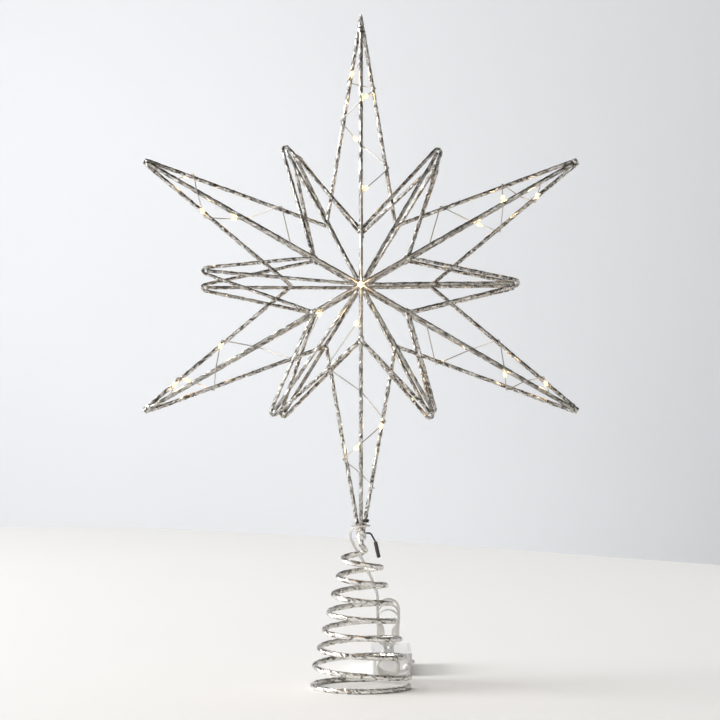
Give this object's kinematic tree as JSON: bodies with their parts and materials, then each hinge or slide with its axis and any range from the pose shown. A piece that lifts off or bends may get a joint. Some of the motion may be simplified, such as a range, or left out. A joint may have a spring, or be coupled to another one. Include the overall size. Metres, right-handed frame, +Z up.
{
  "type": "christmas tree topper star",
  "caption": "Open wire star with long and short points, wound with a string of warm lamps, on a conical coil that slips over a treetop, with a clear lead and a battery case.",
  "frame": {"origin": "on the coil's axis, on the table that the coil stands on", "axes": "+Z up the coil's axis to the star's top point, -Y out of the star's front, +X to the right seen from the front"},
  "size_m": [0.2826, 0.17, 0.4375],
  "materials": {
    "tinsel_wire": "silver tinsel wrap",
    "coil_wire": "silver tinsel wrap",
    "weld_metal": "silver paint",
    "string_wire": "bright",
    "lamp_bead": "warm white, lit",
    "tail_plastic": "matt",
    "clear_lead": "clear",
    "tie_plastic": "clear",
    "case_plastic": "frosted",
    "cell_can": "satin",
    "contact_metal": "bright",
    "board": "matt",
    "knob_plastic": "matt"
  },
  "bodies": {
    "base": {"coil_base": "coil_wire", "lead_drop": "clear_lead", "lead_hank": "clear_lead", "lead_foot": "clear_lead", "hank_tie": "tie_plastic", "battery_case": "case_plastic", "battery_cells": "cell_can", "cell_contacts": "contact_metal", "circuit_board": "board", "slide_switch": "contact_metal", "lead_grommet": "case_plastic"},
    "star": {"outline_top": "tinsel_wire", "front_ridge_top": "tinsel_wire", "back_ridge_top": "tinsel_wire", "outline_upper_left": "tinsel_wire", "front_ridge_upper_left": "tinsel_wire", "back_ridge_upper_left": "tinsel_wire", "outline_lower_left": "tinsel_wire", "front_ridge_lower_left": "tinsel_wire", "back_ridge_lower_left": "tinsel_wire", "outline_bottom": "tinsel_wire", "front_ridge_bottom": "tinsel_wire", "back_ridge_bottom": "tinsel_wire", "outline_lower_right": "tinsel_wire", "front_ridge_lower_right": "tinsel_wire", "back_ridge_lower_right": "tinsel_wire", "outline_upper_right": "tinsel_wire", "front_ridge_upper_right": "tinsel_wire", "back_ridge_upper_right": "tinsel_wire", "front_short_right": "tinsel_wire", "front_short_high_right": "tinsel_wire", "front_short_high_left": "tinsel_wire", "front_short_left": "tinsel_wire", "front_short_low_left": "tinsel_wire", "front_short_low_right": "tinsel_wire", "front_short_ridges": "tinsel_wire", "back_short_right": "tinsel_wire", "back_short_high_right": "tinsel_wire", "back_short_high_left": "tinsel_wire", "back_short_left": "tinsel_wire", "back_short_low_left": "tinsel_wire", "back_short_low_right": "tinsel_wire", "back_short_ridges": "tinsel_wire", "hub_welds": "weld_metal", "tip_caps": "tinsel_wire", "ridge_bindings": "weld_metal", "light_string_top": "string_wire", "light_string_upper_left": "string_wire", "light_string_lower_left": "string_wire", "light_string_bottom": "string_wire", "light_string_lower_right": "string_wire", "light_string_upper_right": "string_wire", "lamp_beads": "lamp_bead", "neck_collar": "weld_metal", "tail_wire": "tail_plastic", "tail_cap": "tail_plastic", "string_splice": "tail_plastic"},
    "cover": {"battery_cover": "case_plastic"},
    "switch": {"switch_knob": "knob_plastic"}
  },
  "joints": [
    {"name": "coil_compress", "type": "slide", "parent": "base", "child": "star", "axis": [0, 0, 1], "range_m": [-0.012, 0.008], "stiffness_N_per_m": 2400, "springref_m": 0.00076, "deforming": ["coil_base", "lead_drop"]},
    {"name": "cover_slide", "type": "slide", "parent": "base", "child": "cover", "axis": [0, 1, 0], "range_m": [0, 0.06]},
    {"name": "switch_slide", "type": "slide", "parent": "base", "child": "switch", "axis": [0, 1, 0], "range_m": [-0.003, 0]}
  ]
}
